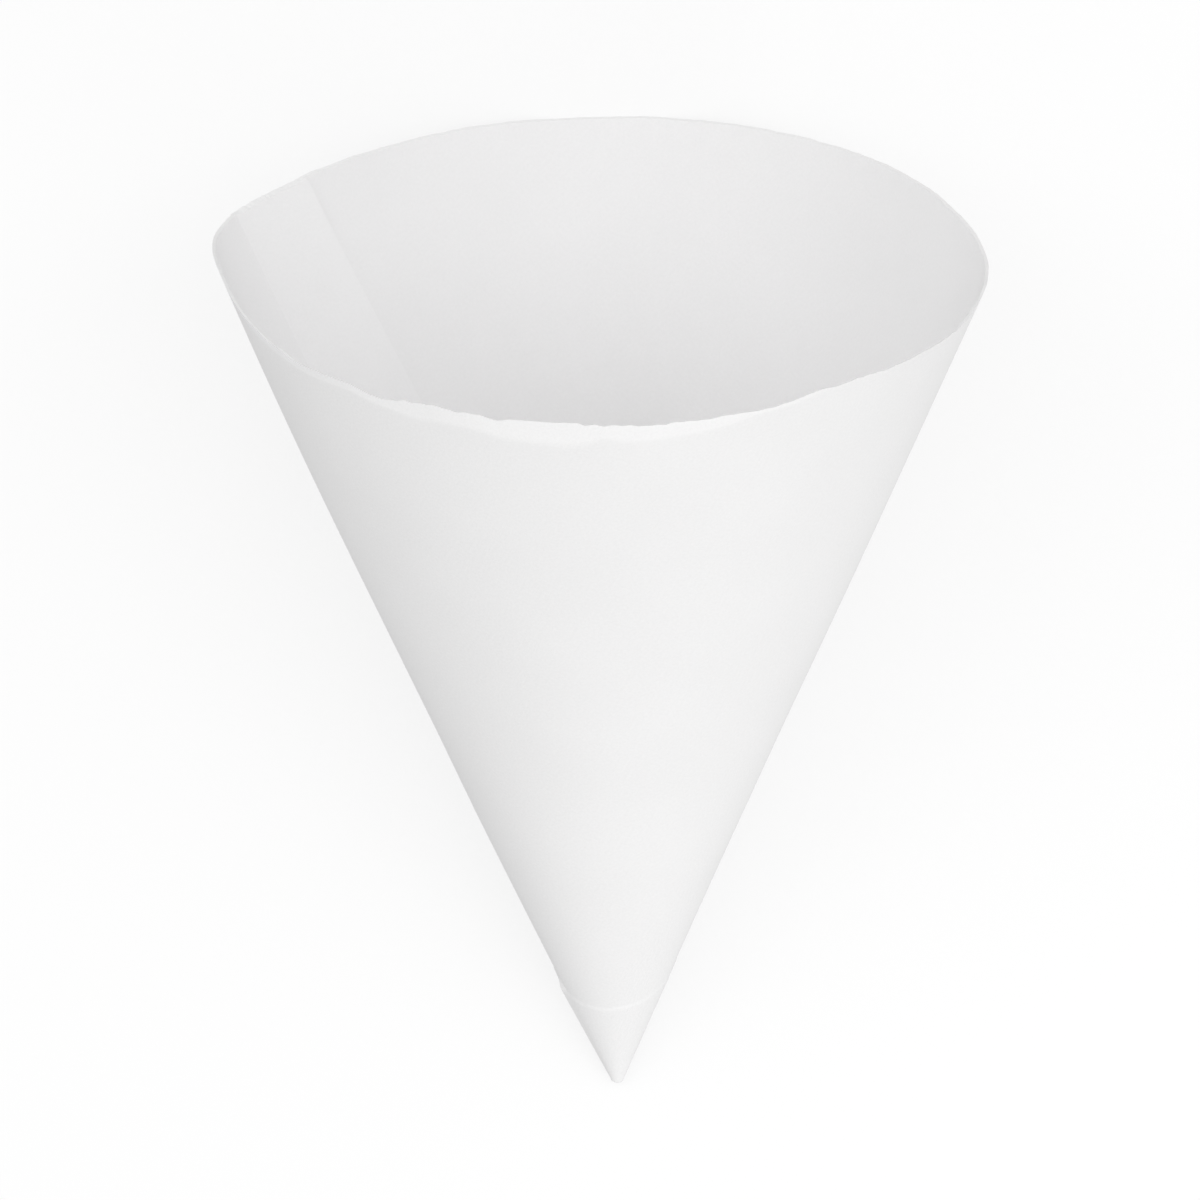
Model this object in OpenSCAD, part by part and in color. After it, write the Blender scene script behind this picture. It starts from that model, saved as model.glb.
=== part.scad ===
// Cone paper cup: one sheet wound into a cone, lapped and glued, lying on its side on a small flat.
// Sizes in millimetres. Turn angles are measured round the cone from the line that touches the floor,
// positive towards +X. The tip points to -Y, the mouth to +Y, and the floor is Z = 0.

/* [Cup] */
// outside diameter across the rim
mouth_d = 73; // [60:1:90]
// height along the axis from the blunt tip to the rim
cup_h = 89; // [75:1:110]
// thickness of the paper
paper_t = 0.25; // [0.2:0.05:0.4]
// diameter of the blunt tip inside the wrap
tip_d = 1; // [0.8:0.1:3]

/* [Lap] */
// turn angle of the inner sheet end at the rim
lap_turn = -52; // [-80:1:-45]
// angle between the two sheet ends at the rim
lap_angle = 15; // [10:1:30]
// distance by which the cut of the inner end passes the point of the cone
inner_miss = 18; // [4:1:20]
// distance by which the cut of the outer end passes the point of the cone
outer_miss = 6.5; // [3:0.5:12]
// degrees by which the stiff lap stands out of the round
lap_swell = 1.6; // [0:0.1:2.5]
// degrees of turn over which the swelling fades
swell_width = 15; // [10:1:25]

/* [Tip wrap] */
// distance along the wall from the point to the cut edge of the wrap
wrap_l = 14; // [12:1:20]
// turn angle where the wrap is shortest
wrap_turn = 169; // [150:1:190]
// slope length of the cut edge of the wrap
wrap_edge = 0.3; // [0.2:0.1:0.6]
// distance along the wall that the pressed layers fill at the point
fill_l = 7; // [5:0.5:9]

/* [Rest] */
// half the turn angle of the flat on which the cup lies
rest_angle = 8; // [4:1:12]
// sideways bow of the axis at mid height
axis_bow = 0.35; // [0:0.05:0.6]

/* [Hidden] */
paper_colour = [0.93, 0.92, 0.91];
long_steps = 80;
lap_steps = 12;
rows = 14;
tip_rows = 3;
around = long_steps + lap_steps;
half_angle = atan((mouth_d - tip_d) / 2 / cup_h);
tilt = atan(tan(half_angle) * cos(rest_angle));
rim_l = mouth_d / 2 / sin(half_angle);
tip_l = tip_d / 2 / sin(half_angle);
low_l = wrap_l + wrap_edge;
// the lap is at full step above step_full and pressed down to step_least at the wrap
step_full = rim_l * 0.45;
step_low = rim_l * 0.3;
step_least = 0.3;
// the wrap edge is a straight cut as far as this turn from its shortest place, then level
wrap_reach = 110;

// turn angle brought to the range from -180 to 180
function near_turn(turn) = turn - 360 * floor((turn + 180) / 360);

// half angle of the wall, with the swelling at the lap
function wall_angle(turn) =
    half_angle + lap_swell * exp(-pow(near_turn(turn - lap_turn + lap_angle) / swell_width, 2));

// turn by which a straight cut that passes the point at a distance has moved at a place on the wall
function cut_turn(miss, l) = (acos(miss / rim_l) - acos(miss / max(l, step_low))) / sin(half_angle);

// turn angles of the outer and inner sheet ends
function outer_end(l) = lap_turn - lap_angle + cut_turn(outer_miss, l);
function inner_end(l) = lap_turn + cut_turn(inner_miss, l);

// angle of the lap, and how much of the paper thickness its steps show
function lap_at(l) = inner_end(l) - outer_end(l);
function step_at(l) = max(step_least, min(1, (l - step_low) / (step_full - step_low)));

// place of the wrap edge along the wall
function wrap_at(turn) = wrap_l / cos(sin(half_angle) * min(wrap_reach, abs(near_turn(turn - wrap_turn))));

// winding angle of a station, counted from the outer end through the single sheet to the lap
function wound(i, l) =
    i <= long_steps
        ? (360 - lap_at(l)) * i / long_steps
        : 360 - lap_at(l) * (around - i) / lap_steps;

// the same for the inside, counted from the inner end through the lap to the single sheet
function inner_wound(i, l) = i < lap_steps ? wound(long_steps + i, l) - 360 : wound(i - lap_steps, l);

// lift of the outside from the cone: it drifts out by one sheet in a turn
function outside(w, l) = -paper_t * step_at(l) * max(0, 1 - w / (360 - lap_at(l)));

// lift of the inside: one sheet below the outside, or two where the inner end lies under the lap
function inside(w, l) =
    w < 0
        ? -paper_t * (1 + step_at(l))
        : outside(w, l) - paper_t;

// a point on the wall, lifted square to it, in the frame of the cone
function wall_point(turn, l, lift) =
    let (a = wall_angle(turn), r = l * sin(a) + lift * cos(a), s = l / rim_l)
    [r * sin(turn) - axis_bow * 4 * s * (1 - s), r * cos(turn), l * cos(a) - lift * sin(a)];

// the same point with the cone laid down, pressed flat where it would pass below a level
function laid(p, level) =
    [p[0], p[1] * sin(tilt) + p[2] * cos(tilt), max(level, p[2] * sin(tilt) - p[1] * cos(tilt))];

// place of a row along the wall: in the middle of the front, and at any turn
function row_l(k) = low_l + (rim_l - low_l) * k / rows;
function row_at(turn, k) = let (low = wrap_at(turn) + wrap_edge) low + (rim_l - low) * k / rows;

// rows of the wrap, from the blunt tip to its cut edge
tip_points = [
    for (k = [0:tip_rows], i = [0:around - 1])
    let (turn = outer_end(low_l) - wound(i, low_l))
    laid(wall_point(turn, tip_l + (wrap_at(turn) - tip_l) * k / tip_rows, paper_t), 0)
];

// rows of the outside from the wrap edge to the rim, open at the outer end
outer_points = [
    for (k = [0:rows], i = [0:around])
    let (l = row_l(k), w = wound(i, l), turn = outer_end(l) - w)
    laid(wall_point(turn, row_at(turn, k), outside(w, l)), 0)
];

// rows of the inside from the wrap edge to the rim, open at the inner end
inner_points = [
    for (k = [0:rows], i = [0:around])
    let (l = row_l(k), w = inner_wound(i, l), turn = outer_end(l) - w, lift = inside(w, l))
    laid(wall_point(turn, row_at(turn, k), lift), outside(max(w, 0), l) - lift)
];

// closed ring at the bottom of the inside
fill_points = [
    for (i = [0:around - 1])
    let (turn = outer_end(low_l) - inner_wound(i, low_l))
    laid(wall_point(turn, fill_l, -paper_t), paper_t)
];

// middle points that close the tip and the bottom of the inside
cap_points = [
    laid(wall_point(0, tip_l, -tip_d / 2), 0),
    laid([0, 0, fill_l * cos(half_angle)], paper_t)
];

raw_points = concat(tip_points, outer_points, inner_points, fill_points, cap_points);
function middle(axis) = (min([for (p = raw_points) p[axis]]) + max([for (p = raw_points) p[axis]])) / 2;
centre = [middle(0), middle(1), 0];
sheet_points = [for (p = raw_points) p - centre];

// where each group of points starts
outer_0 = len(tip_points);
inner_0 = outer_0 + len(outer_points);
fill_0 = inner_0 + len(inner_points);
cap_0 = fill_0 + len(fill_points);
function tip_id(k, i) = k * around + i % around;
function outer_id(k, i) = outer_0 + k * (around + 1) + i;
function inner_id(k, i) = inner_0 + k * (around + 1) + i;
function fill_id(i) = fill_0 + i % around;

// triangles of a four-sided patch, and of a polygon seen from its first corner
function patch(a, b, c, d) = [[a, b, c], [a, c, d]];
function fan(ids) = [for (i = [1:len(ids) - 2]) [ids[0], ids[i], ids[i + 1]]];
function flat(lists) = [for (list = lists) each list];

sheet_faces = concat(
    [for (i = [0:around - 1]) [cap_0, tip_id(0, i), tip_id(0, i + 1)]],
    flat([for (k = [0:tip_rows - 1], i = [0:around - 1])
        patch(tip_id(k, i), tip_id(k + 1, i), tip_id(k + 1, i + 1), tip_id(k, i + 1))]),
    flat([for (i = [0:around - 1])
        patch(tip_id(tip_rows, i), outer_id(0, i), outer_id(0, i + 1), tip_id(tip_rows, i + 1))]),
    [[tip_id(tip_rows, 0), outer_id(0, around), outer_id(0, 0)]],
    flat([for (k = [0:rows - 1], i = [0:around - 1])
        patch(outer_id(k, i), outer_id(k + 1, i), outer_id(k + 1, i + 1), outer_id(k, i + 1))]),
    flat([for (k = [0:rows - 1])
        patch(outer_id(k, around), outer_id(k + 1, around), outer_id(k + 1, 0), outer_id(k, 0))]),
    flat([for (k = [0:rows - 1], i = [0:around - 1])
        patch(inner_id(k, i), inner_id(k, i + 1), inner_id(k + 1, i + 1), inner_id(k + 1, i))]),
    flat([for (k = [0:rows - 1])
        patch(inner_id(k, around), inner_id(k, 0), inner_id(k + 1, 0), inner_id(k + 1, around))]),
    flat([for (i = [0:around - 1])
        patch(fill_id(i), fill_id(i + 1), inner_id(0, i + 1), inner_id(0, i))]),
    [[fill_id(0), inner_id(0, 0), inner_id(0, around)]],
    [for (i = [0:around - 1]) [cap_0 + 1, fill_id(i + 1), fill_id(i)]],
    flat([for (i = [0:long_steps - 1])
        patch(outer_id(rows, i), inner_id(rows, i + lap_steps),
            inner_id(rows, i + lap_steps + 1), outer_id(rows, i + 1))]),
    flat([for (i = [1:lap_steps - 2])
        patch(outer_id(rows, i + long_steps), inner_id(rows, i),
            inner_id(rows, i + 1), outer_id(rows, i + long_steps + 1))]),
    fan([inner_id(rows, 1), outer_id(rows, long_steps + 1), outer_id(rows, long_steps),
        inner_id(rows, around), inner_id(rows, 0)]),
    fan([inner_id(rows, lap_steps - 1), inner_id(rows, lap_steps), outer_id(rows, 0),
        outer_id(rows, around), outer_id(rows, around - 1)])
);

// the cup: outside, inside and cut edges of one wound sheet
module paper_cone() {
    color(paper_colour)
    polyhedron(points = sheet_points, faces = sheet_faces, convexity = 6);
}

paper_cone();
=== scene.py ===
# %% [markdown]
# # A cone paper cup
# The real cup is one sheet of thin white paper. It is wound round a pointed mandrel, glued where its two
# ends lap, and pressed to a blunt tip. It can't stand on that tip, so here it lies on its side, as it
# would on a table. The frame below is the measured solid of the cup. Everything made in this lesson keeps
# to its box, give or take a millimetre. Lengths are in metres, and turns and angles in degrees.

# %% Load the measured frame
import math

import bmesh
import bpy
import numpy as np
from mathutils import Matrix, Vector


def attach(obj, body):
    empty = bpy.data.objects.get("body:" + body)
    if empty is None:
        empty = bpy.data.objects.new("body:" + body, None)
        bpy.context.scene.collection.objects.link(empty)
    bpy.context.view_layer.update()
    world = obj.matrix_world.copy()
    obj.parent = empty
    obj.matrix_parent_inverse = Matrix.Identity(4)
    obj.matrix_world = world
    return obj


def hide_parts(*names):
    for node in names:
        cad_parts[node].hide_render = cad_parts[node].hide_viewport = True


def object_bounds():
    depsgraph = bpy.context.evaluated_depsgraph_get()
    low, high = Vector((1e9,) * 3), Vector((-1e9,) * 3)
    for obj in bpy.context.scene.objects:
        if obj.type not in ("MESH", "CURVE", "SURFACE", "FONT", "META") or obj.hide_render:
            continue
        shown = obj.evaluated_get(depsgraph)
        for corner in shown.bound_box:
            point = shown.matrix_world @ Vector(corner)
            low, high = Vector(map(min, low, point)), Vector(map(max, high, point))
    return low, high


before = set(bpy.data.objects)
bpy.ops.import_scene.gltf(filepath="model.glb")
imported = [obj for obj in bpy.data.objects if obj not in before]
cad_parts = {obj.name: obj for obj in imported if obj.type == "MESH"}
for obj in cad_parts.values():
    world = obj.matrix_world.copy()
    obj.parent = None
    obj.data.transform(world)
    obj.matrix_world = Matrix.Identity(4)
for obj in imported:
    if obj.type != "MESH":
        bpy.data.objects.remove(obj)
cad_box = [list(corner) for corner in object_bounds()]
mm = 0.001
print("frame box in mm:", [[round(v / mm, 1) for v in corner] for corner in cad_box])

# %% [markdown]
# ## The cone
# Paper only bends one way, so a wound sheet is always made of straight lines through one point. A place
# on it needs two numbers: the turn round the cone and the distance along the wall from that point. A cone
# primitive would give a perfect circle, but a real cup is a little out of round: the glued lap is stiff
# and stands out, the far side has a shallow dip, and the wall is pressed flat where it touches the table,
# as far as rest_turn to each side. So the half angle of the cone is written as a function of the turn.
# The turn is counted from the line on which the cup lies, so the front of the cup is at 180.

# %% Sizes of the cone
mouth_width = 73 * mm
cup_height = 89 * mm
tip_width = 1 * mm
paper = 0.25 * mm
half_angle = math.degrees(math.atan((mouth_width - tip_width) / 2 / cup_height))
rim_place = mouth_width / 2 / math.sin(math.radians(half_angle))
rest_turn = 8
rest_tilt = math.degrees(math.atan(math.tan(math.radians(half_angle)) * math.cos(math.radians(rest_turn))))
lap_turn = -52.3
lap_angle = 13.6
lap_swell = 1.9
swell_turn = -70
swell_width = 17.3
flat_dip = 0.6
dip_turn = 64.5
dip_width = 18.5


def near_turn(turn):
    return (turn + 180) % 360 - 180


def hump(turn, middle, width):
    return np.exp(-(near_turn(turn - middle) / width) ** 2)


def wall_angle(turn):
    swell = lap_swell * hump(turn, swell_turn, swell_width)
    return half_angle + swell - flat_dip * hump(turn, dip_turn, dip_width)


print("half angle %.2f degrees, wall length %.1f mm" % (half_angle, rim_place / mm))

# %% [markdown]
# ## The winding
# The two ends of the sheet were cut straight, but not towards the point of the cone, so each end runs
# round the cone as it comes down. Between the ends the sheet drifts outwards by one thickness in a turn:
# that makes one step inside, at the inner end, and one step outside, at the outer end. Where the outer
# end presses on the sheet below it, the wall has a soft crease. Drawing the lap as a bump in a texture
# would lose its edge at the rim, so the steps and the crease are real here.

# %% Ends of the sheet and the drift between them
inner_miss = 16.2 * mm
outer_miss = 6.5 * mm
step_full = rim_place * 0.45
step_low = rim_place * 0.3
step_least = 0.3
crease_rise = 0.4
crease_width = 7


def cut_turn(miss, place):
    at_rim = math.degrees(math.acos(miss / rim_place))
    at_place = np.degrees(np.arccos(miss / np.maximum(place, step_low)))
    return (at_rim - at_place) / math.sin(math.radians(half_angle))


def outer_end(place):
    return lap_turn - lap_angle + cut_turn(outer_miss, place)


def lap_at(place):
    return lap_turn + cut_turn(inner_miss, place) - outer_end(place)


def step_at(place):
    return np.clip((place - step_low) / (step_full - step_low), step_least, 1)


def crease_angle(turn, place):
    return crease_rise * np.exp(-np.abs(near_turn(turn - outer_end(place))) / crease_width)


def outside_lift(wound, place):
    return -paper * step_at(place) * np.maximum(0, 1 - wound / (360 - lap_at(place)))


def inside_lift(wound, place):
    under_lap = -paper * (1 + step_at(place))
    return np.where(wound < 0, under_lap, outside_lift(wound, place) - paper)


print("lap at the rim %.0f degrees, lower down %.0f degrees" % (lap_at(rim_place), lap_at(rim_place / 2)))

# %% [markdown]
# ## The rim
# The rim was cut, not rolled. On this cup the cut wanders by up to a millimetre, has a few small kinks at
# the front, slants down to the inside, and is slightly furred, most of all at the front. There a strip up
# to three millimetres deep is bent inwards. It catches the light, and its colour is whiter where it leans
# in: partly broken fibre, partly a painted highlight.
# Noise alone would put kinks anywhere, so set points carry the wander and the strip, and seeded random
# teeth give the fur. A program that traced the rim in the picture first found most turns of the wander's
# points, and their rises were then changed by hand. Each point is a turn and a value: millimetres for the
# rise of the edge and the depth of the strip, and a slope for its lean.

# %% Cut edge, bent strip and furred teeth
edge_rises = [
    (100, 0.0), (114, -0.4), (122, -0.1), (128, 0.2), (133, 0.4), (141, 1.0), (149, 0.58), (152, 0.2),
    (156, 0.13), (160, -0.14), (164, -0.3), (168, -0.3), (175, -0.7), (178, -0.68), (182, -0.45),
    (186, -0.4), (191, -0.4), (195, -0.5), (197, -0.75), (199, -0.45), (202, -0.17), (207, -0.2),
    (210, -0.52), (212, -0.55), (216, -0.65), (218, -0.6), (222, 0.0), (231, -0.3), (240, 0.0),
]
lip_depths = [
    (114, 0.6), (152, 0.6), (158, 0.7), (162, 1.3), (168, 1.9), (177, 2.0), (181, 1.6), (182, 2.3),
    (186, 3.0), (193, 2.7), (196, 2.3), (198, 2.0), (209, 1.9), (215, 1.1), (218, 0.8), (240, 0.9),
    (262, 0.6),
]
lip_leans = [
    (100, 0.0), (114, -0.03), (140, -0.02), (152, 0.03), (160, 0.06), (168, 0.08), (178, 0.09), (188, 0.12),
    (196, 0.13), (198, 0.13), (215, 0.135), (218, 0.12), (240, 0.1), (262, 0.0),
]
# lean at which the strip's whiteness, partly a painted highlight, is full
full_highlight_lean = 0.06
rim_bevel = 0.2 * mm
tooth_size = 0.12 * mm
nick_size = 0.22 * mm
tooth_blend = [0.25, 0.5, 0.25]
nick_span = 9
teeth_seed = 4
worn_turn = 185
worn_width = 80
worn_least = 0.25


def between(turn, set_points):
    turns, values = zip(*set_points)
    return np.interp(turn % 360, turns, values)


def edge_rise(turn):
    return between(turn, edge_rises) * mm


def lip_depth(turn):
    return between(turn, lip_depths) * mm


def lip_lean(turn):
    return between(turn, lip_leans)


def worn(turn):
    return worn_least + (1 - worn_least) * hump(turn, worn_turn, worn_width)


# whiteness of the bent strip, partly broken fibre and partly a painted highlight, growing with its lean
def fibre_white_and_highlight(turn):
    return np.clip(lip_lean(turn) / full_highlight_lean, 0, 1)


def furred(count, seed):
    steps = np.random.default_rng(seed).normal(size=count)
    reach = nick_span // 2
    ring = np.concatenate([steps[-reach:], steps, steps[:reach]])
    teeth = np.convolve(ring[reach - 1:1 - reach], tooth_blend, "valid")
    nicks = np.convolve(ring, np.full(nick_span, 1 / nick_span), "valid")
    return tooth_size * teeth + nick_size * nicks


print("deepest part of the bent strip %.1f mm" % max(depth for turn, depth in lip_depths))

# %% [markdown]
# ## The tip
# The lower corner of the sheet is wrapped once more round the tip. Its edge shows as a fine ledge about
# thirteen millimetres from the point, straight on the flat sheet and so curved on the cone. It is pressed
# nearly flat, and only its corner stands up a little, on the left. A separate ring would show a gap, so
# the ledge is part of the wall.

# %% Wrap at the tip
wrap_place = 13.25 * mm
wrap_turn = 199
wrap_reach = 110
wrap_slope = 0.25 * mm
wrap_rise = 0.05 * mm
corner_rise = 0.24 * mm
corner_turn = -105
corner_width = 8
tip_end = 2.28 * mm


def wrap_edge(turn):
    away = np.minimum(wrap_reach, np.abs(near_turn(turn - wrap_turn)))
    return wrap_place / np.cos(np.radians(away * math.sin(math.radians(half_angle))))


def wrap_lift(turn, place):
    rise = wrap_rise + corner_rise * hump(turn, corner_turn, corner_width)
    return rise * np.clip((place - tip_end) / (wrap_place - tip_end), 0, 1)


print("wrap edge from %.1f to %.1f mm" % (wrap_edge(wrap_turn) / mm, wrap_edge(wrap_turn + 180) / mm))

# %% [markdown]
# ## Laying the cup down
# A point of the wall is first placed on the upright cone, lifted square to the wall by its layer. Soft
# paper is never quite straight, so the wall bulges a little, is squeezed near the tip, and carries slow
# waves, and the whole cup is bowed and its tip bent aside by a fraction of a millimetre. Then the cone is
# turned so that it lies on the floor, and whatever would pass below the floor is pressed up to it.
# Turning a finished object would do the same but could not press its flat.

# %% From the wall to the floor
wave_height = 0.05 * mm
broad_waves, broad_slant = 5, 2.2
narrow_waves, narrow_slant, narrow_start, narrow_share = 8, -4.1, 1.3, 0.7
wall_bulge = 1.8 * mm
tip_squeeze = 0.25 * mm
axis_bow = 0.22 * mm
bow_peak = 4 / 27  # largest value of share ** 2 * (1 - share)
tip_bend = 0.4 * mm
bend_share = 0.3


def slow_waves(turn, place):
    round_cup = np.radians(turn)
    along = place / rim_place * math.pi
    broad = np.sin(broad_waves * round_cup + broad_slant * along)
    narrow = np.sin(narrow_waves * round_cup + narrow_slant * along + narrow_start)
    return wave_height * (broad + narrow_share * narrow) * np.sin(along / 2)


def upright(turn, place, lift):
    angle = np.radians(wall_angle(turn) + crease_angle(turn, place))
    share = place / rim_place
    out = lift + wall_bulge * share ** 3 * (1 - share) - tip_squeeze * (1 - share) ** 2
    bow = tip_bend * np.maximum(0, 1 - share / bend_share) ** 2
    bow = bow - axis_bow * share ** 2 * (1 - share) / bow_peak
    radius = place * np.sin(angle) + out * np.cos(angle)
    x = radius * np.sin(np.radians(turn)) + bow
    y = radius * np.cos(np.radians(turn))
    z = place * np.cos(angle) - out * np.sin(angle)
    return x, y, z


def laid(point, level):
    x, y, z = point
    lean = math.radians(rest_tilt)
    along = y * math.sin(lean) + z * math.cos(lean)
    height = np.maximum(level, z * math.sin(lean) - y * math.cos(lean))
    return np.stack(np.broadcast_arrays(x, along, height), -1)


print("the axis lies %.1f degrees above the floor" % rest_tilt)

# %% [markdown]
# ## Rows and stations
# The sheet is drawn as a net: stations run round the cone from one end of the sheet to the other, and
# rows run from the tip to the rim. They lie closer where the paper bends more: beside the ledge, at the
# rim, and along the lower border of the bent strip, so that it is one clean line. An even net would need
# many more faces for the same edge.

# %% Places of the rows and the stations
long_steps = 520
lap_steps = 80
around = long_steps + lap_steps
fade_steps = 20
usual_lip = 2 * mm
low_place = wrap_place + wrap_slope
strip_shares = [1, 0.85, 0.65, 0.45, 0.25, 0.1, 0.03, 0]
near_strip = [0.11, 0.085, 0.06, 0.04, 0.025, 0.013, 0.005]
near_wrap = [0, 0.002, 0.008, 0.02]
open_wall = np.linspace(0.04, 0.86, 24)
wall_shares = np.concatenate([near_wrap, open_wall, 1 - np.array(near_strip)])
wall_share = np.concatenate([wall_shares, np.ones(len(strip_shares))])[:, None]
strip_rise = 1 - np.concatenate([np.ones(len(wall_shares)), strip_shares])[:, None]
row_place = low_place + (rim_place - usual_lip - low_place) * wall_share + usual_lip * strip_rise
station = np.arange(around + 1)[None, :]
from_end = np.minimum(np.arange(around), around - np.arange(around))
fur = np.concatenate([furred(around, teeth_seed) * np.clip(from_end / fade_steps, 0, 1), [0.0]])
inner_fur = np.concatenate([np.roll(fur[:-1], lap_steps), fur[long_steps:long_steps + 1]])
print("net of %d rows and %d stations on each face" % (len(row_place), around))

# %% [markdown]
# ## Two faces
# Each face of the sheet is wound on from its end, lifted by its layer and laid down. Inside, the rows end
# a little lower, which gives the slant of the cut, and in the lap, with its two layers, twice as low. A
# modifier could thicken one surface, but the two faces of this sheet have their steps in different
# places, so both are made.

# %% Net of the outside and the inside
bevel_steps = 12


def wound_at(i, place):
    lap = lap_at(place)
    return np.where(i <= long_steps, (360 - lap) * i / long_steps, 360 - lap * (around - i) / lap_steps)


def inner_wound(i, place):
    return np.where(i < lap_steps, wound_at(i + long_steps, place) - 360, wound_at(i - lap_steps, place))


def cut_place(turn, bevel, fur_here):
    low = wrap_edge(turn) + wrap_slope
    crease = rim_place + edge_rise(turn) - lip_depth(turn)
    strip = (lip_depth(turn) - bevel) * strip_rise
    return low + (crease - low) * wall_share + strip + fur_here * worn(turn) * strip_rise ** 2


def face_of_sheet(wound, lift, level, bevel, fur_here):
    turn = outer_end(row_place) - wound
    place = cut_place(turn, bevel, fur_here)
    bent = lift + slow_waves(turn, place) - lip_lean(turn) * lip_depth(turn) * strip_rise
    return laid(upright(turn, place, bent), level), turn, place


outer_w = wound_at(station, row_place)
inner_w = inner_wound(station, row_place)
outer_lift = outside_lift(outer_w, row_place)
inner_lift = inside_lift(inner_w, row_place)
inner_level = outside_lift(np.maximum(inner_w, 0), row_place) - inner_lift
outer_net = face_of_sheet(outer_w, outer_lift, 0, 0, fur)
into_lap = np.minimum(lap_steps - station, station)
lap_bevel = rim_bevel * (1 + np.clip(into_lap / bevel_steps, 0, 1))
inner_net = face_of_sheet(inner_w, inner_lift, inner_level, lap_bevel, inner_fur)
print("the mouth is %.1f mm wide" % (np.ptp(outer_net[0][..., 0]) / mm))

# %% [markdown]
# ## Rounding the tip
# The wrap is a second net below the ledge. At its end the paper is pressed to a small round knob, which
# is drawn as a few shrinking rings. Inside, the layers fill the point, so the hollow ends a little above
# it in a blunt fold.

# %% Net of the wrap, the knob and the bottom of the hollow
fill_place = 7 * mm
hollow_depth = 2.5 * mm
knob_drop = 0.35 * mm
wrap_rows = np.concatenate([np.linspace(0, 0.94, 13), [0.98, 1]])[:, None]
knob_rings = np.radians(np.linspace(78, 12, 6))[:, None]
hollow_shrink = np.array([0.1, 0.35, 0.6, 0.85, 1])[:, None]
tip_turn = outer_end(low_place) - wound_at(station, low_place)
wrap_spread = tip_end + (wrap_edge(tip_turn) - tip_end) * wrap_rows
wrap_bent = wrap_lift(tip_turn, wrap_spread) + slow_waves(tip_turn, wrap_spread)
wrap_net = laid(upright(tip_turn, wrap_spread, wrap_bent), 0)
knob_place = np.full_like(tip_turn, tip_end)
knob_x, knob_y, knob_z = upright(tip_turn, knob_place, 0)
shrink, drop = np.cos(knob_rings), knob_drop * np.sin(knob_rings)
knob_net = laid((tip_bend + (knob_x - tip_bend) * shrink, knob_y * shrink, knob_z - drop), 0)
hollow_turn = outer_end(low_place) - inner_wound(station, low_place)
hollow_x, hollow_y, hollow_z = upright(hollow_turn, np.full_like(hollow_turn, fill_place), -paper)
hollow_fall = hollow_depth * (1 - hollow_shrink)
hollow_middle = hollow_x[:, :-1].mean()
hollow_ring_x = hollow_middle + (hollow_x - hollow_middle) * hollow_shrink
hollow_net = laid((hollow_ring_x, hollow_y * hollow_shrink, hollow_z - hollow_fall), paper)
print("knob of %d rings, wrap of %d rows" % (len(knob_rings), len(wrap_rows)))

# %% [markdown]
# ## Sewing the net into a mesh
# Each net becomes a block of vertices, and a quad joins four neighbours. The flat pattern of the sheet,
# laid out as it was cut, serves as the texture map: fibres then follow the paper round the cone instead
# of cutting through it.

# %% Vertices, faces and the flat pattern
points, pattern, strip_marks, lap_marks, faces, finish_of_face = [], [], [], [], [], []
OUTSIDE, INSIDE, CUT = 0, 1, 2
pattern_metres = 4 * rim_place


def flat_pattern(turn, place):
    swing = np.radians(turn * math.sin(math.radians(half_angle)))
    return np.stack([place * np.sin(swing), place * np.cos(swing)], -1) / pattern_metres + 0.5


def add_net(net, turn, place, strip=0.0, doubled=0.0):
    first = sum(len(block) for block in points)
    shape = net.shape[:2]
    turn, place, strip, doubled = [np.broadcast_to(part, shape) for part in (turn, place, strip, doubled)]
    points.append(net.reshape(-1, 3))
    pattern.append(flat_pattern(turn, place).reshape(-1, 2))
    strip_marks.append(strip.ravel())
    lap_marks.append(doubled.ravel())
    return first + np.arange(shape[0] * shape[1]).reshape(shape)


def sew(low, high, finish):
    quads = np.stack([low[:-1], high[:-1], high[1:], low[1:]], -1)
    faces.extend(quads.tolist())
    finish_of_face.extend([finish] * len(quads))


def sew_rows(ids, finish):
    for low, high in zip(ids[:-1], ids[1:]):
        sew(low, high, finish)


print("the texture map spans %.0f mm of paper" % (pattern_metres / mm))

# %% [markdown]
# ## White marks
# Two marks go with each point, for the bent strip and for the lap, because both are a shade whiter than
# the rest. On the strip that whiteness is partly broken fibre and partly a painted highlight. The first
# mark also runs along the ledge at the tip as a fine white line, a painted highlight where the ledge
# catches the light, and the second is stronger beside the inner end, near the rim.
# Painting them by hand would do for one picture, but marks that are worked out stay in place when a size
# is changed.

# %% Sew the nets with their marks
# painted highlight: a fine white line along the ledge at the tip, where it catches the light
ledge_highlight = 0.065
ledge_highlight_width = 85
# a shade whiter beside the inner end of the sheet, more so towards the rim
inner_end_white = 0.15
inner_end_steps, inner_end_fade = 18, 4
inner_end_from, inner_end_full = 0.7, 0.95
knob_ids = add_net(knob_net, tip_turn, knob_place)
ledge_highlight_mark = ledge_highlight * hump(tip_turn, wrap_turn, ledge_highlight_width)
wrap_ids = add_net(wrap_net, tip_turn, wrap_spread, strip=ledge_highlight_mark * (wrap_rows == 1))
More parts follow.
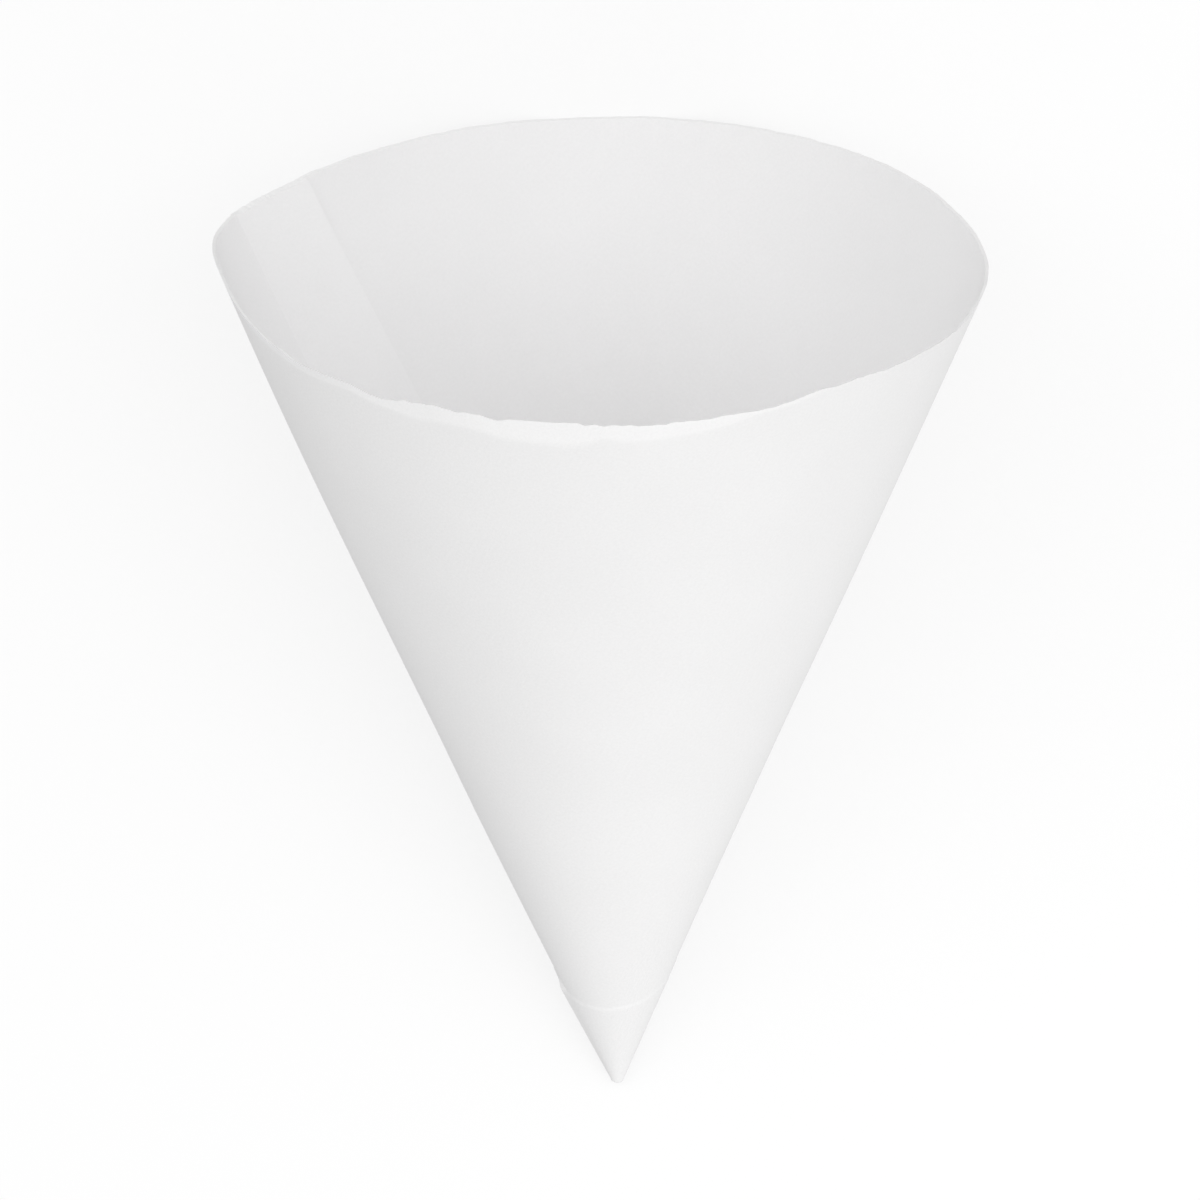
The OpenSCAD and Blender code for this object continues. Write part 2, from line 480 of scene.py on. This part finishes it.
# the ledge row carries its painted highlight, the bent strip its whiteness, partly painted highlight
ledge_and_strip = np.where(wall_share == 0, ledge_highlight_mark, strip_rise * fibre_white_and_highlight(outer_net[1]))
outer_ids = add_net(*outer_net, strip=ledge_and_strip, doubled=station >= long_steps)
beside_end = np.clip((inner_end_steps - station) / inner_end_fade, 0, 1)
near_rim = np.clip((wall_share - inner_end_from) / (inner_end_full - inner_end_from), 0, 1)
inner_lap = (station < lap_steps) + inner_end_white * beside_end * near_rim
inner_ids = add_net(*inner_net, strip=strip_rise * fibre_white_and_highlight(inner_net[1]), doubled=inner_lap)
hollow_ids = add_net(hollow_net, hollow_turn, fill_place * hollow_shrink)
sew_rows(knob_ids, OUTSIDE)
sew(knob_ids[-1], wrap_ids[0], OUTSIDE)
sew_rows(wrap_ids, OUTSIDE)
sew(wrap_ids[-1], outer_ids[0], OUTSIDE)
sew_rows(outer_ids, OUTSIDE)
sew_rows(inner_ids, INSIDE)
sew_rows(hollow_ids, INSIDE)
sew(hollow_ids[-1], inner_ids[0], INSIDE)
print("sewn %d quads" % len(faces))

# %% [markdown]
# ## Closing the cut edges
# The thickness of the paper shows on three cut edges: along the rim, at the inner end and at the outer
# end. They are narrow strips between the two faces. The ends meet the rim, the ledge and the bottom of
# the hollow in tiny corners that a plain strip would leave open, so fans of triangles close them, and the
# last rings of the tip too.

# %% Strips along the rim and the ends
outer_rim, inner_rim = outer_ids[-1], inner_ids[-1]
sew(outer_rim[:long_steps + 1], inner_rim[lap_steps:], CUT)
sew(outer_rim[long_steps + 1:-1], inner_rim[1:lap_steps], CUT)
sew(outer_ids[:, -1], outer_ids[:, 0], CUT)
sew(inner_ids[:, -1], inner_ids[:, 0], CUT)


def fan(corners, finish):
    first, *rest = [int(i) for i in corners]
    for second, third in zip(rest[:-1], rest[1:]):
        faces.append([first, second, third])
        finish_of_face.append(finish)


inner_corner = [inner_rim[1], outer_rim[long_steps + 1], outer_rim[long_steps], inner_rim[-1], inner_rim[0]]
outer_corner = [inner_rim[lap_steps - 1], inner_rim[lap_steps], outer_rim[0], outer_rim[-1], outer_rim[-2]]
fan(inner_corner, CUT)
fan(outer_corner, CUT)
fan([wrap_ids[-1][0], outer_ids[0][-1], outer_ids[0][0]], CUT)
fan([hollow_ids[-1][0], inner_ids[0][0], inner_ids[0][-1]], INSIDE)
fan(knob_ids[0][:-1], OUTSIDE)
fan(hollow_ids[0][:-1], INSIDE)
print("closed with %d faces in all" % len(faces))

# %% [markdown]
# ## One object
# The cup is a single piece of paper, so all nets go into one mesh. Making it from lists is quicker than
# adding the faces one by one, and it keeps the marks and the flat pattern in step with the points. The
# last shift puts the mouth where the measured frame has it.

# %% Turn the lists into one object
vertices = np.concatenate(points)
middle = (vertices[:, 0].min() + vertices[:, 0].max()) / 2
mouth_end = vertices[:, 1].max() - cad_box[1][1]
vertices = vertices - np.array([middle, mouth_end, 0])
cup_mesh = bpy.data.meshes.new("paper_cup")
cup_mesh.from_pydata(vertices.tolist(), [], faces)
flat_map = cup_mesh.uv_layers.new(name="flat_pattern")
corner_vertex = np.empty(len(cup_mesh.loops), dtype=np.int32)
cup_mesh.loops.foreach_get("vertex_index", corner_vertex)
flat_map.uv.foreach_set("vector", np.concatenate(pattern)[corner_vertex].astype(np.float32).ravel())
cup_mesh.polygons.foreach_set("material_index", np.array(finish_of_face, dtype=np.int32))
for mark, values in (("bent_strip", strip_marks), ("doubled", lap_marks)):
    layer = cup_mesh.attributes.new(mark, "FLOAT", "POINT")
    layer.data.foreach_set("value", np.concatenate(values).astype(np.float32))
paper_cup = bpy.data.objects.new("paper_cup", cup_mesh)
bpy.context.scene.collection.objects.link(paper_cup)
print("paper_cup has %d vertices" % len(cup_mesh.vertices))

# %% [markdown]
# ## Smoothing
# The nets meet along their first and last stations, so doubled points are merged there. Then all faces
# are shaded smooth except across the cut edges, which must stay crisp.

# %% Merge, face outwards and shade
crisp_angle = math.radians(38)
merge_gap = 0.0005 * mm
sewing = bmesh.new()
sewing.from_mesh(cup_mesh)
bmesh.ops.remove_doubles(sewing, verts=sewing.verts, dist=merge_gap)
bmesh.ops.recalc_face_normals(sewing, faces=sewing.faces)
open_edges = sum(not edge.is_manifold for edge in sewing.edges)
sewing.to_mesh(cup_mesh)
sewing.free()
cup_mesh.polygons.foreach_set("use_smooth", [True] * len(cup_mesh.polygons))
cup_mesh.set_sharp_from_angle(angle=crisp_angle)
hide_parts("paper_cone")
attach(paper_cup, "root")
print("paper_cup: %d faces, %d open edges" % (len(cup_mesh.polygons), open_edges))

# %% [markdown]
# ## Three small helpers
# A finish is a tree of nodes. One helper adds a node with its label, one sets its inputs by name, and one
# lays the nodes out in columns, so that the tree can be read when it is opened in the editor.

# %% Helpers for shader nodes


def add_node(tree, kind, label, **values):
    node = tree.nodes.new(kind)
    node.label = label
    for name, value in values.items():
        setattr(node, name, value)
    return node


def set_inputs(node, **values):
    for name, value in values.items():
        node.inputs[name.replace("_", " ")].default_value = value
    return node


def arrange(tree, columns):
    for column, nodes in enumerate(columns):
        for row, node in enumerate(nodes):
            node.location = (column * 220, -row * 260)


print("helpers:", [helper.__name__ for helper in (add_node, set_inputs, arrange)])

# %% [markdown]
# ## Paper stock
# Uncoated paper isn't one white. Seen close it has short fibres that lie every way, a fine grain, and a
# cloudy unevenness that papermakers call formation. All three finishes of the cup share them, so they are
# one node group: it reads the flat pattern and puts out a colour, a roughness and a height. A picture of
# paper would repeat and would need a file, while noise has no edges and is sharp at any distance.

# %% Node group: paper stock
stock = bpy.data.node_groups.new("Paper stock", "ShaderNodeTree")
for socket, kind, value in (
    ("Light tone", "NodeSocketColor", (0.9, 0.9, 0.9, 1)),
    ("Deep tone", "NodeSocketColor", (0.85, 0.85, 0.85, 1)),
    ("Fibre", "NodeSocketFloat", 0.5),
    ("Smoothness", "NodeSocketFloat", 0.2),
):
    made = stock.interface.new_socket(name=socket, in_out="INPUT", socket_type=kind)
    made.default_value = value
stock.interface.new_socket(name="Color", in_out="OUTPUT", socket_type="NodeSocketColor")
for socket in ("Roughness", "Height"):
    stock.interface.new_socket(name=socket, in_out="OUTPUT", socket_type="NodeSocketFloat")
cloud_size = 11 * mm
grain_size = 0.3 * mm
fibre_width = 0.12 * mm
fibre_length = 0.9 * mm
stock_sizes = (cloud_size / mm, grain_size / mm, fibre_width / mm)
print("clouds %.0f mm, grain %.2f mm, fibres %.2f mm" % stock_sizes)

# %% [markdown]
# ## What the sheet is made of
# Clouds are broad noise and grain is fine noise. Fibres are noise stretched along one direction: three
# lays at odd angles, with the strongest one on top, look like a felt. One lay alone would look like
# brushed metal.

# %% Clouds, grain and crossed fibres
links = stock.links
stock_in = add_node(stock, "NodeGroupInput", "stock settings")
stock_out = add_node(stock, "NodeGroupOutput", "stock results")
flat = add_node(stock, "ShaderNodeUVMap", "flat pattern", uv_map="flat_pattern")
clouds = add_node(stock, "ShaderNodeTexNoise", "formation clouds")
set_inputs(clouds, Scale=pattern_metres / cloud_size, Detail=4.0, Roughness=0.5)
grain = add_node(stock, "ShaderNodeTexNoise", "fine grain")
set_inputs(grain, Scale=pattern_metres / grain_size, Detail=2.0, Roughness=0.7)
links.new(flat.outputs["UV"], clouds.inputs["Vector"])
links.new(flat.outputs["UV"], grain.inputs["Vector"])
fibre_nodes = []
fibre_top = None
for lay in (15, 80, 135):
    turned = add_node(stock, "ShaderNodeMapping", "lay of fibres %d" % lay)
    turned.inputs["Rotation"].default_value = (0, 0, math.radians(lay))
    turned.inputs["Scale"].default_value = (fibre_width / fibre_length, 1, 1)
    strands = add_node(stock, "ShaderNodeTexNoise", "fibres %d" % lay)
    set_inputs(strands, Scale=pattern_metres / fibre_width / 2, Detail=1.0, Roughness=0.5, Distortion=0.8)
    links.new(flat.outputs["UV"], turned.inputs["Vector"])
    links.new(turned.outputs["Vector"], strands.inputs["Vector"])
    fibre_nodes.append((turned, strands))
    if fibre_top is None:
        fibre_top = strands.outputs["Fac"]
    else:
        stronger = add_node(stock, "ShaderNodeMath", "fibre on top", operation="MAXIMUM")
        links.new(fibre_top, stronger.inputs[0])
        links.new(strands.outputs["Fac"], stronger.inputs[1])
        fibre_top = stronger.outputs["Value"]
print("fibres lie in %d directions" % len(fibre_nodes))

# %% [markdown]
# ## Relief
# A fingertip feels the fibres, not the clouds. So the height is the grain with the strongest fibres lying
# over it, and each finish says how much of the fibre it shows.

# %% Height of the surface: fibres over grain
fibre_ridge = add_node(stock, "ShaderNodeMapRange", "fibre ridges")
set_inputs(fibre_ridge, From_Min=0.55, From_Max=0.75, To_Min=0.0, To_Max=1.0)
links.new(fibre_top, fibre_ridge.inputs["Value"])
fibre_share = add_node(stock, "ShaderNodeMath", "fibre strength", operation="MULTIPLY")
links.new(fibre_ridge.outputs["Result"], fibre_share.inputs[0])
links.new(stock_in.outputs["Fibre"], fibre_share.inputs[1])
relief_sum = add_node(stock, "ShaderNodeMath", "grain and fibre", operation="ADD")
links.new(grain.outputs["Fac"], relief_sum.inputs[0])
links.new(fibre_share.outputs["Value"], relief_sum.inputs[1])
links.new(relief_sum.outputs["Value"], stock_out.inputs["Height"])
print("relief from:", [node.label for node in (grain, fibre_ridge)])

# %% [markdown]
# ## Whiteness
# Thin paper lets some light through, so where two sheets lie together, in the lap, it looks whiter. The
# bent strip at the rim is whiter too, partly because its fibres are broken open and partly as a painted
# highlight, and so is the painted highlight along the ledge at the tip. Clouds and grain vary the rest.
# The sum slides between a deep and a light tone, which keeps the paper one colour while it varies.

# %% Whiteness: clouds, grain, doubled paper and the bent strip
cloud_tone = add_node(stock, "ShaderNodeMapRange", "cloud tone")
set_inputs(cloud_tone, From_Min=0.3, From_Max=0.7, To_Min=0.17, To_Max=0.43)
links.new(clouds.outputs["Fac"], cloud_tone.inputs["Value"])
grain_tone = add_node(stock, "ShaderNodeMapRange", "grain tone")
set_inputs(grain_tone, From_Min=0.25, From_Max=0.75, To_Min=-0.4, To_Max=0.4)
links.new(grain.outputs["Fac"], grain_tone.inputs["Value"])
doubled = add_node(stock, "ShaderNodeAttribute", "two sheets", attribute_name="doubled")
bent_strip = add_node(stock, "ShaderNodeAttribute", "bent strip", attribute_name="bent_strip")
# the bent_strip mark whitens the strip, partly as painted highlight, and the ledge at the tip as painted
# highlight
strip_edge = add_node(stock, "ShaderNodeMapRange", "edge of the strip")
set_inputs(strip_edge, From_Min=0.0, From_Max=0.25, To_Min=0.0, To_Max=0.5)
links.new(bent_strip.outputs["Fac"], strip_edge.inputs["Value"])
lap_tone = add_node(stock, "ShaderNodeMath", "doubled paper", operation="MULTIPLY_ADD")
lap_tone.inputs[1].default_value = 0.42
links.new(doubled.outputs["Fac"], lap_tone.inputs[0])
links.new(strip_edge.outputs["Result"], lap_tone.inputs[2])
even_tone = add_node(stock, "ShaderNodeMath", "clouds and grain", operation="ADD")
links.new(cloud_tone.outputs["Result"], even_tone.inputs[0])
links.new(grain_tone.outputs["Result"], even_tone.inputs[1])
tone = add_node(stock, "ShaderNodeMath", "whiteness", operation="ADD", use_clamp=True)
links.new(even_tone.outputs["Value"], tone.inputs[0])
links.new(lap_tone.outputs["Value"], tone.inputs[1])
shade = add_node(stock, "ShaderNodeMix", "deep to light", data_type="RGBA")
color_a, color_b, color_result = 6, 7, 2  # colour sockets of a Mix node share their names, so go by number
links.new(tone.outputs["Value"], shade.inputs["Factor"])
links.new(stock_in.outputs["Deep tone"], shade.inputs[color_a])
links.new(stock_in.outputs["Light tone"], shade.inputs[color_b])
links.new(shade.outputs[color_result], stock_out.inputs["Color"])
print("whiteness from:", [node.label for node in (cloud_tone, grain_tone, doubled, bent_strip)])

# %% [markdown]
# ## Gloss
# Paper is matt, and pressing makes it a little smoother. The grain breaks up what sheen is left, as it
# does on a real sheet held against a window.

# %% Roughness, and the nodes set out in columns
matt = add_node(stock, "ShaderNodeMapRange", "matt to smooth")
set_inputs(matt, From_Min=0.0, From_Max=1.0, To_Min=0.95, To_Max=0.6)
links.new(stock_in.outputs["Smoothness"], matt.inputs["Value"])
uneven = add_node(stock, "ShaderNodeMath", "uneven roughness", operation="MULTIPLY_ADD", use_clamp=True)
uneven.inputs[1].default_value = 0.08
links.new(grain.outputs["Fac"], uneven.inputs[0])
links.new(matt.outputs["Result"], uneven.inputs[2])
links.new(uneven.outputs["Value"], stock_out.inputs["Roughness"])
arrange(stock, [
    [stock_in, flat, doubled, bent_strip],
    [part[0] for part in fibre_nodes],
    [part[1] for part in fibre_nodes] + [clouds, grain],
    [fibre_ridge, cloud_tone, grain_tone, strip_edge, matt],
    [fibre_share, even_tone, lap_tone, uneven],
    [relief_sum, tone],
    [shade],
    [stock_out],
])
print("paper stock has %d nodes" % len(stock.nodes))

# %% [markdown]
# ## Three finishes
# The outside is dull and open. The inside is pressed smoother on the mandrel and has a faint cool cast; its
# tones are also a shade lighter than the outside's, painted light on the inside of the cone.
# The cut edge is torn fibre, so it is the roughest. Each is a Principled shader fed by the same paper
# stock: one shader for the whole cup would be simpler, but the cut edge would then look as smooth as the
# wall.

# %% Materials of the paper


def paper_finish(name, light, deep, fibre, smoothness, relief):
    material = bpy.data.materials.new(name)
    material.use_nodes = True
    tree = material.node_tree
    tree.nodes.clear()
    made = add_node(tree, "ShaderNodeGroup", "paper stock", node_tree=stock)
    set_inputs(made, Light_tone=light + (1,), Deep_tone=deep + (1,), Fibre=fibre, Smoothness=smoothness)
    bump = add_node(tree, "ShaderNodeBump", "fibre relief")
    set_inputs(bump, Strength=relief, Distance=0.1 * mm)
    shader = add_node(tree, "ShaderNodeBsdfPrincipled", "paper")
    shader.inputs["IOR"].default_value = 1.45
    shader.inputs["Specular IOR Level"].default_value = 0.25
    result = add_node(tree, "ShaderNodeOutputMaterial", "surface")
    tree.links.new(made.outputs["Color"], shader.inputs["Base Color"])
    tree.links.new(made.outputs["Roughness"], shader.inputs["Roughness"])
    tree.links.new(made.outputs["Height"], bump.inputs["Height"])
    tree.links.new(bump.outputs["Normal"], shader.inputs["Normal"])
    tree.links.new(shader.outputs["BSDF"], result.inputs["Surface"])
    arrange(tree, [[made], [bump], [shader], [result]])
    return material


outside_tones = (0.896, 0.8935, 0.894), (0.841, 0.8385, 0.839)
# the inside tones are a shade lighter than the outside's: painted light on the inside of the cone
inside_tones = (0.929, 0.925, 0.927), (0.889, 0.885, 0.887)
cut_tones = (0.91, 0.907, 0.9075), (0.87, 0.867, 0.8675)
for finish in (
    paper_finish("outside_paper", *outside_tones, fibre=0.4, smoothness=0.25, relief=0.15),
    paper_finish("inside_paper", *inside_tones, fibre=0.3, smoothness=0.45, relief=0.12),
    paper_finish("cut_paper", *cut_tones, fibre=0.9, smoothness=0.0, relief=0.2),
):
    cup_mesh.materials.append(finish)
print("finishes:", [finish.name for finish in cup_mesh.materials])

# %% [markdown]
# ## Floor
# The cup lies on a plain floor, one wide face, which isn't part of the cup.

# %% One wide face
floor_size = 6.0
floor_mesh = bpy.data.meshes.new("floor")
side = floor_size / 2
floor_corners = [(-side, -side, 0), (side, -side, 0), (side, side, 0), (-side, side, 0)]
floor_mesh.from_pydata(floor_corners, [], [(0, 1, 2, 3)])
floor = bpy.data.objects.new("floor", floor_mesh)
bpy.context.scene.collection.objects.link(floor)
print("floor %.0f m wide" % floor_size)

# %% [markdown]
# ## Rays that an eye sees
# Floor and sky should look white to the camera and in anything glossy or clear, but light the cup by
# less. The node that knows which ray is asking is Light Path. This helper joins its three answers into
# one, for both of them.

# %% Camera, glossy and clear rays together


def seen_by_eye(tree, path):
    glossy = add_node(tree, "ShaderNodeMath", "camera or gloss", operation="MAXIMUM")
    clear = add_node(tree, "ShaderNodeMath", "or glass", operation="MAXIMUM")
    tree.links.new(path.outputs["Is Camera Ray"], glossy.inputs[0])
    tree.links.new(path.outputs["Is Glossy Ray"], glossy.inputs[1])
    tree.links.new(glossy.outputs["Value"], clear.inputs[0])
    tree.links.new(path.outputs["Is Transmission Ray"], clear.inputs[1])
    return clear


print("helper:", seen_by_eye.__name__)

# %% [markdown]
# ## Floor paint
# The floor is white paint that also glows for the camera, so that it reads as white without more light on
# the cup, and the share that doesn't glow keeps the cup's shadow. For the light it throws back on the cup
# it is a middle grey, or the underside of the cone would lose its shade.

# %% White that keeps a shadow
glow_share = 0.75
floor_paint = bpy.data.materials.new("white_floor")
floor_paint.use_nodes = True
paint = floor_paint.node_tree
paint.nodes.clear()
matt_white = add_node(paint, "ShaderNodeBsdfDiffuse", "matt white")
matt_white.inputs["Color"].default_value = (0.9, 0.9, 0.9, 1)
glow = add_node(paint, "ShaderNodeEmission", "seen as white")
soft_bounce = add_node(paint, "ShaderNodeBsdfDiffuse", "light thrown back")
soft_bounce.inputs["Color"].default_value = (0.5, 0.5, 0.5, 1)
seen = add_node(paint, "ShaderNodeLightPath", "which ray")
white = add_node(paint, "ShaderNodeMixShader", "paint and glow")
white.inputs["Fac"].default_value = glow_share
by_ray = add_node(paint, "ShaderNodeMixShader", "bounce or white")
floor_result = add_node(paint, "ShaderNodeOutputMaterial", "surface")
paint.links.new(matt_white.outputs["BSDF"], white.inputs[1])
paint.links.new(glow.outputs["Emission"], white.inputs[2])
paint.links.new(seen_by_eye(paint, seen).outputs["Value"], by_ray.inputs["Fac"])
paint.links.new(soft_bounce.outputs["BSDF"], by_ray.inputs[1])
paint.links.new(white.outputs["Shader"], by_ray.inputs[2])
paint.links.new(by_ray.outputs["Shader"], floor_result.inputs["Surface"])
floor_mesh.materials.append(floor_paint)
print("floor paint has %d nodes" % len(paint.nodes))

# %% [markdown]
# ## Sky
# Most of the light comes from all round, as in a white studio tent. A lamp alone would leave hard dark
# sides on a cone. The camera sees the sky as plain white, whatever light it gives.

# %% Pale sky
sky_strength = 0.829
sky = bpy.data.worlds.new("pale_sky")
sky.use_nodes = True
sky_tree = sky.node_tree
sky_tree.nodes.clear()
sky_light = add_node(sky_tree, "ShaderNodeBackground", "light of the sky")
set_inputs(sky_light, Color=(1, 1, 1, 1), Strength=sky_strength)
sky_white = add_node(sky_tree, "ShaderNodeBackground", "white to the eye")
set_inputs(sky_white, Color=(1, 1, 1, 1), Strength=1.0)
sky_path = add_node(sky_tree, "ShaderNodeLightPath", "which ray")
sky_mix = add_node(sky_tree, "ShaderNodeMixShader", "light or white")
sky_result = add_node(sky_tree, "ShaderNodeOutputWorld", "world")
sky_tree.links.new(seen_by_eye(sky_tree, sky_path).outputs["Value"], sky_mix.inputs["Fac"])
sky_tree.links.new(sky_light.outputs["Background"], sky_mix.inputs[1])
sky_tree.links.new(sky_white.outputs["Background"], sky_mix.inputs[2])
sky_tree.links.new(sky_mix.outputs["Shader"], sky_result.inputs["Surface"])
bpy.context.scene.world = sky
print("sky strength %.2f" % sky_strength)

# %% [markdown]
# ## Lamps
# Three wide lamps high over the mouth and its sides light the inside and leave its depth darker. A small
# one near the tip, on the right, gives the long shade along the left of the cone. Their power is kept low
# enough that the white paper stays below white.

# %% Soft lamps
cup_middle = Vector((0, 0, 0.03))


def soft_lamp(name, place, width, power):
    data = bpy.data.lights.new(name, "AREA")
    data.shape = "DISK"
    data.size = width
    data.energy = power
    lamp = bpy.data.objects.new(name, data)
    lamp.location = place
    lamp.rotation_euler = (cup_middle - Vector(place)).to_track_quat("-Z", "Y").to_euler()
    lamp.visible_camera = False
    bpy.context.scene.collection.objects.link(lamp)
    return lamp


soft_lamp("mouth_lamp", (0, 0.5, 1.1), 0.8, 0.88)
soft_lamp("left_lamp", (-0.7, 0.3, 0.9), 0.8, 1.7)
soft_lamp("right_lamp", (0.75, 0.25, 0.9), 0.8, 1.32)
soft_lamp("tip_lamp", (0.22, -0.25, 0.16), 0.2, 0.25)

# %% [markdown]
# ## Camera
# In the picture the cup stands and the camera looks down on it by some twenty-six degrees. Its half angle
# is nearly that, so with the cup lying down the same view is had from almost straight above, a few
# degrees towards the mouth. A long lens keeps the sides of the cone as straight as they are in the
# picture.

# %% Look down on the lying cup
picture_pixels = 1200
focal_pixels = 10298
sensor = 36.0
camera_distance = 1.0
camera_lean = 3.81
camera_roll = -0.5
aim = Vector((-0.17, 1.71, 18.4)) * mm
eye = bpy.data.cameras.new("camera")
eye.sensor_width = sensor
eye.lens = sensor * focal_pixels / picture_pixels
eye.clip_start = 0.01
camera = bpy.data.objects.new("camera", eye)
camera.matrix_world = (
    Matrix.Translation(aim)
    @ Matrix.Rotation(-math.radians(camera_lean), 4, "X")
    @ Matrix.Translation((0, 0, camera_distance))
    @ Matrix.Rotation(math.radians(camera_roll), 4, "Z")
)
bpy.context.scene.collection.objects.link(camera)
bpy.context.scene.camera = camera
bpy.context.scene.view_settings.view_transform = "Standard"
print("lens %.0f mm" % eye.lens)
